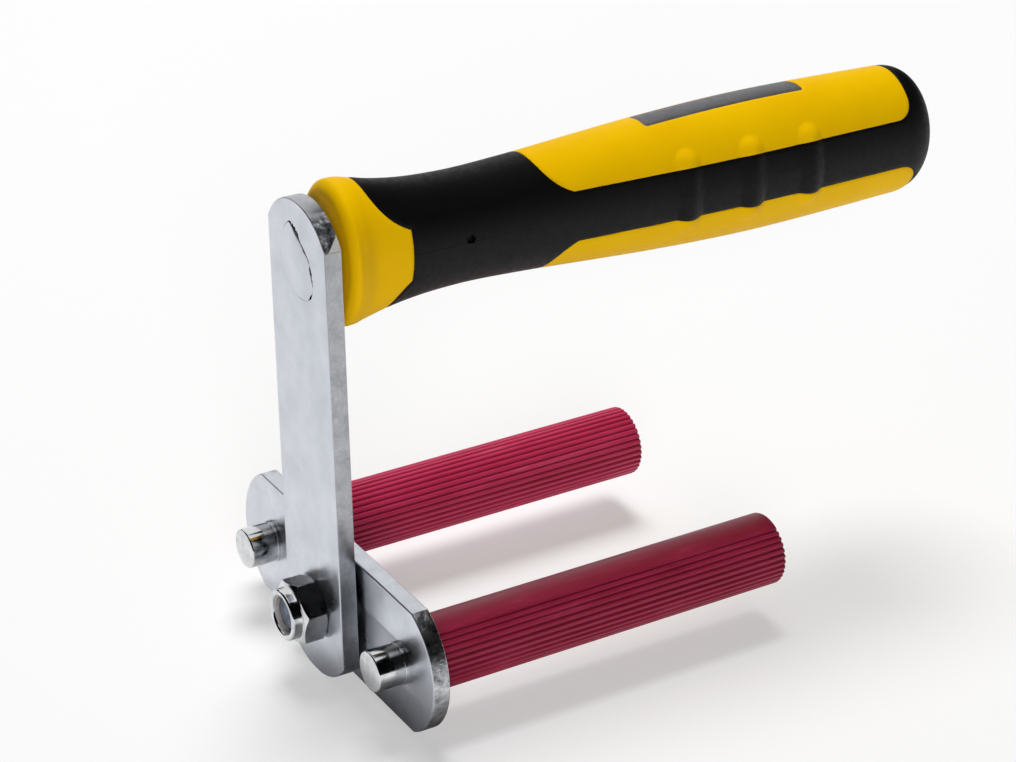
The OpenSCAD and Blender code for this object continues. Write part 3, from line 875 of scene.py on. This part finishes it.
def zone_depths(x, y, z):
    """How deep a point lies inside the hard zones and inside the badge, seen from the side and from
    above. Outside a zone the depth is negative."""
    high = np.abs(z)
    scallop_y, scallop_z, nose_y, nose_z, back, tail_r = (
        np.where(z > 0, *pair) for pair in (SCALLOP_Y, SCALLOP_Z, NOSE_Y, NOSE_Z, PANEL_BACK, TAIL_R)
    )
    guard = np.minimum(GUARD_L - y, np.hypot(y - scallop_y, high - scallop_z) - SCALLOP_R)
    corner_y, corner_z = back - tail_r, STRIPE + tail_r
    tail = np.where(
        (y > corner_y) & (high < corner_z),
        tail_r - np.hypot(y - corner_y, high - corner_z), np.minimum(back - y, high - STRIPE),
    )
    off_nose = np.hypot(y - nose_y, np.minimum(high, nose_z) - nose_z)
    panel = np.minimum(tail, np.where(y < nose_y, NOSE_R - off_nose, tail))
    off_x = np.abs(x) - BADGE_HALF[0] + BADGE_CORNER
    off_y = np.abs(y - BADGE_Y) - BADGE_HALF[1] + BADGE_CORNER
    off_corner = np.hypot(np.maximum(off_x, 0), np.maximum(off_y, 0))
    badge = BADGE_CORNER - off_corner - np.minimum(np.maximum(off_x, off_y), 0)
    return np.maximum(guard, panel), np.where(z > 0, badge, -1)


def dimple_depth(points):
    """How deep a point lies inside the dimple's rim."""
    x, y, z = points.T
    return np.where(x > 0, DIMPLE_R - np.hypot(y - DIMPLE_Y, z - DIMPLE_Z), -1)


def split(faces, depth, points):
    """Cuts polygons along the line of no depth. Returns those inside, those outside and the points
    with the new ones on the line."""
    points = list(points)
    inside, outside, cuts = [], [], {}

    def cut(a, b):
        key = (min(a, b), max(a, b))
        if key not in cuts:
            share = depth[key[0]] / (depth[key[0]] - depth[key[1]])
            cuts[key] = len(points)
            points.append(points[key[0]] + (points[key[1]] - points[key[0]]) * share)
        return cuts[key]

    for face in faces:
        signs = [depth[i] > 0 for i in face]
        if all(signs):
            inside.append(face)
        elif not any(signs):
            outside.append(face)
        else:
            parts = ([], [])
            for a, b in zip(face, face[1:] + face[:1]):
                parts[int(depth[a] <= 0)].append(a)
                if (depth[a] > 0) != (depth[b] > 0):
                    middle_point = cut(a, b)
                    parts[0].append(middle_point)
                    parts[1].append(middle_point)
            inside.append(tuple(parts[0]))
            outside.append(tuple(parts[1]))
    return inside, outside, np.array(points)


def grip_normals(points):
    """Outward directions on the grip, good enough for its small relief."""
    y, half_w, half_h = GRIP_PROFILE
    place = np.clip(points[:, 1], LIP_EDGE, GRIP_L)
    body = slice(BODY_START, None)
    wide = np.maximum(np.interp(place, y[body], half_w[body]), LEAST_HALF)
    tall = np.maximum(np.interp(place, y[body], half_h[body]), LEAST_HALF)
    normal = np.stack([points[:, 0] / wide ** 2, np.zeros(len(points)), points[:, 2] / tall ** 2], axis=1)
    return normal / np.maximum(np.linalg.norm(normal, axis=1), 1e-9)[:, None]


def relief(points):
    """Moves the grip's points for its beads, seams and dimple."""
    x, y, z = points.T
    around = np.arcsin(np.clip(z / (GRIP_H / 2), -1, 1)) * (GRIP_H + GRIP_W) / 4
    lift = np.zeros(len(points))
    for bead in BEADS:
        off = np.hypot(y - bead, np.maximum(np.abs(around) - BEAD_REACH + BEAD_HALF_W, 0)) / BEAD_HALF_W
        lift = np.maximum(lift, BEAD_H * np.clip(1 - off ** 2, 0, 1) ** BEAD_POWER)
    hard, badge = zone_depths(x, y, z)
    seam = np.minimum(np.abs(hard), np.abs(badge))
    on_side = (y > LIP_EDGE) & (np.hypot(x, z) > SEAM_FROM_R)
    lift -= np.where(on_side, SEAM * np.exp(-(seam / SEAM_W) ** 2), 0)
    lift -= np.where(dimple_depth(points) > WELD_GAP, DIMPLE, 0)
    return points + grip_normals(points) * lift[:, None]


def used(points, faces):
    """The points that the faces use, and the faces renumbered."""
    kept = sorted({i for face in faces for i in face})
    number = {old: new for new, old in enumerate(kept)}
    return points[kept], [tuple(number[i] for i in face) for face in faces]


def grip():
    """The grip's surface in its three zones, each a shell with its own skin."""
    y, half_w, half_h = GRIP_PROFILE
    angle = np.arange(GRIP_COLUMNS) * 2 * np.pi / GRIP_COLUMNS
    across = half_w[:, None] * np.cos(angle)
    along = np.repeat(y[:, None], GRIP_COLUMNS, axis=1)
    upward = half_h[:, None] * np.sin(angle)
    points = np.stack([across, along, upward], axis=2).reshape(-1, 3)
    faces = grid_faces(len(y), GRIP_COLUMNS)
    hard_faces, soft_faces, points = split(faces, zone_depths(*points.T)[0], points)
    badge_faces, hard_faces, points = split(hard_faces, zone_depths(*points.T)[1], points)
    hole_faces, soft_faces, points = split(soft_faces, dimple_depth(points), points)
    soft_faces += hole_faces
    points = relief(points)
    for name, node, part in (
        ("grip_hard", "grip_core", hard_faces), ("grip_soft", "grip_overmould", soft_faces),
        ("badge", "badge_plate", badge_faces),
    ):
        made = piece(name, node, *used(points, part), GRIP)
        shell = made.modifiers.new("wall", "SOLIDIFY")
        shell.thickness = SKIN * MM
        shell.offset = -1


GRIP_PROFILE = grip_rows()
grip()


# Camera, fitted to the photo: its turns in radians, and its place in the lever's frame

YAW, PITCH, TILT = 1.042, 0.445, -0.019
EYE = Vector((515.6, -252.1, 325.4))
FOCAL_PIXELS = 3063.1
IMAGE_WIDTH = 1016
SENSOR = 36


def camera():
    level = math.cos(PITCH)
    forward = Vector((-math.sin(YAW) * level, math.cos(YAW) * level, -math.sin(PITCH)))
    right = Vector((math.cos(YAW), math.sin(YAW), 0))
    up = right.cross(forward)
    right, up = (
        math.cos(TILT) * right + math.sin(TILT) * up,
        math.cos(TILT) * up - math.sin(TILT) * right,
    )
    data = bpy.data.cameras.new("camera")
    data.sensor_width = SENSOR
    data.lens = SENSOR * FOCAL_PIXELS / IMAGE_WIDTH
    data.clip_start = 0.01
    made = bpy.data.objects.new("camera", data)
    bpy.context.collection.objects.link(made)
    turn = Matrix((right, up, -forward)).transposed().to_4x4()
    place = Matrix.Translation(PIVOT) @ Matrix.Rotation(-LEAN, 4, "Y")
    made.matrix_world = place @ Matrix.Translation(EYE * MM) @ turn
    bpy.context.scene.camera = made


camera()


# Floor, light and view. Lengths are metres from here on, but for those of the painted floor shadow

FLOOR_R = 3
FLOOR_POINTS = 96
FLOOR_BOUNCE = (0.88, 0.88, 0.88, 1)
FLOOR_GLOW = 0.4


def seen_rays(tree):
    """One for rays that show a surface or the world to the camera, straight or in metal, else zero."""
    path = tree.nodes.new("ShaderNodeLightPath")
    seen = path.outputs["Is Camera Ray"]
    for ray in ("Is Glossy Ray", "Is Transmission Ray"):
        either = tree.nodes.new("ShaderNodeMath")
        either.operation = "MAXIMUM"
        tree.links.new(seen, either.inputs[0])
        tree.links.new(path.outputs[ray], either.inputs[1])
        seen = either.outputs["Value"]
    return seen


def disc(radius, count, squash=1):
    """Points of a circle on the floor, squashed along Y."""
    angle = np.arange(count) * 2 * np.pi / count
    return np.stack([radius * np.cos(angle), radius * np.sin(angle) / squash, np.zeros(count)], axis=1)


def floor():
    """A pale floor. What the camera and the metal see of it has a glow that softens the shadow."""
    shade = Shade("floor", Roughness=0.9, Specular_IOR_Level=0, Emission_Color=(1, 1, 1, 1))
    seen = seen_rays(shade.tree)
    pale = shade.ramp(shade.noise(0.01, 2), (0.3, (0.6, 0.6, 0.6, 1)), (0.7, (0.61, 0.61, 0.61, 1)))
    shade.to("Base Color", shade.mix(seen, FLOOR_BOUNCE, pale))
    shade.to("Emission Strength", shade.math("MULTIPLY", seen, FLOOR_GLOW))
    mesh = bpy.data.meshes.new("floor")
    mesh.from_pydata(disc(FLOOR_R, FLOOR_POINTS).tolist(), [], [tuple(range(FLOOR_POINTS))])
    mesh.materials.append(shade.material)
    made = bpy.data.objects.new("floor", mesh)
    bpy.context.collection.objects.link(made)


CARD_R = 2.8
CARD_COLUMNS = 24


def studio_card(name, verts, faces, shade, dims=False):
    """A card that the metal mirrors. It throws no shadow, and only dims the room where asked."""
    mesh = bpy.data.meshes.new(name)
    mesh.from_pydata(verts.tolist(), [], faces)
    mesh.attributes.new("mm", "FLOAT_VECTOR", "POINT").data.foreach_set("vector", (verts / MM).ravel())
    mesh.materials.append(shade.material)
    made = bpy.data.objects.new(name, mesh)
    made.visible_camera = False
    made.visible_diffuse = dims
    made.visible_shadow = False
    bpy.context.collection.objects.link(made)


def wall_card(name, azimuths, heights, tone):
    """A dark card bent round the object, between two azimuths and two heights."""
    shade = Shade(name, Roughness=0.8, Specular_IOR_Level=0)
    black = shade.ramp(shade.noise(0.002, 2), (0.3, (tone, tone, tone, 1)), (0.7, (0, 0, 0, 1)))
    shade.to("Base Color", black)
    count = CARD_COLUMNS + 1
    azimuth = np.radians(np.linspace(*azimuths, count))
    x, y = CARD_R * np.sin(azimuth), CARD_R * np.cos(azimuth)
    rows = [np.stack([x, y, np.full(count, z)], axis=1) for z in heights]
    faces = [(k, k + 1, k + 1 + count, k + count) for k in range(CARD_COLUMNS)]
    studio_card(name, np.concatenate(rows), faces, shade, dims=True)


# A painted shadow on the floor, in millimetres: a dark sheet that only the metal sees, standing for the
# object's shadow near its foot. Its centre from the pivot, its radius, the radius of its darkest part
# and its lift. Its squash along Y and its greatest alpha are plain numbers
SHADOW_CENTRE = (22, 13)
SHADOW_R = 60
SHADOW_DARK_R = 10
SHADOW_LIFT = 0.4
SHADOW_SQUASH = 1.6
SHADOW_ALPHA = 0.92
SHADOW_POINTS = 64


def painted_floor_shadow():
    """A painted shadow: a dark card on the floor under the rocker, fading outwards, that only the metal's
    lower sides mirror.
    """
    shade = Shade("painted_floor_shadow", Roughness=0.8, Specular_IOR_Level=0)
    black = shade.ramp(
        shade.noise(0.1, 2), (0.3, (0.01, 0.01, 0.011, 1)), (0.7, (0.03, 0.03, 0.032, 1))
    )
    shade.to("Base Color", black)
    centre = PIVOT / MM + Vector((*SHADOW_CENTRE, 0))
    x, y, z = shade.axes()
    off_x = shade.math("SUBTRACT", x, centre.x)
    off_y = shade.math("MULTIPLY", shade.math("SUBTRACT", y, centre.y), SHADOW_SQUASH)
    square = shade.math("MULTIPLY_ADD", off_x, off_x, shade.math("MULTIPLY", off_y, off_y))
    away = shade.math("SQRT", square)
    shade.to("Alpha", shade.fit(away, SHADOW_DARK_R, SHADOW_R, SHADOW_ALPHA, 0))
    rim = disc(SHADOW_R, SHADOW_POINTS, SHADOW_SQUASH) + np.array((centre.x, centre.y, SHADOW_LIFT))
    studio_card("painted_floor_shadow", rim * MM, [tuple(range(SHADOW_POINTS))], shade)


AIM = Vector((0, 0, 0.05))


def lamp(name, place, size, power):
    """A soft lamp that no metal mirrors."""
    data = bpy.data.lights.new(name, "AREA")
    data.shape = "DISK"
    data.size = size
    data.energy = power
    made = bpy.data.objects.new(name, data)
    made.location = place
    made.rotation_euler = (AIM - Vector(place)).to_track_quat("-Z", "Y").to_euler()
    made.visible_camera = False
    made.visible_glossy = False
    bpy.context.collection.objects.link(made)


AMBIENT = 0.52


def world():
    """Even pale light all round, which the camera and the mirroring metal see as white."""
    made = bpy.data.worlds.new("world")
    made.use_nodes = True
    tree = made.node_tree
    background = tree.nodes["Background"]
    background.inputs["Color"].default_value = (1, 1, 1, 1)
    strength = tree.nodes.new("ShaderNodeMapRange")
    strength.inputs["To Min"].default_value = AMBIENT
    tree.links.new(seen_rays(tree), strength.inputs["Value"])
    tree.links.new(strength.outputs["Result"], background.inputs["Strength"])
    bpy.context.scene.world = made


floor()
wall_card("card", (-48, 240), (0.065, 8.6), 0.02)
wall_card("low_card", (240, 270), (0.065, 0.97), 0.1)
# A painted floor shadow that only the metal sees
painted_floor_shadow()
lamp("front", (1.25, -0.72, 0.6), 0.6, 9.5)
lamp("top", (-0.5, 0.2, 1.4), 0.7, 16)
world()
bpy.context.scene.view_settings.view_transform = "Standard"
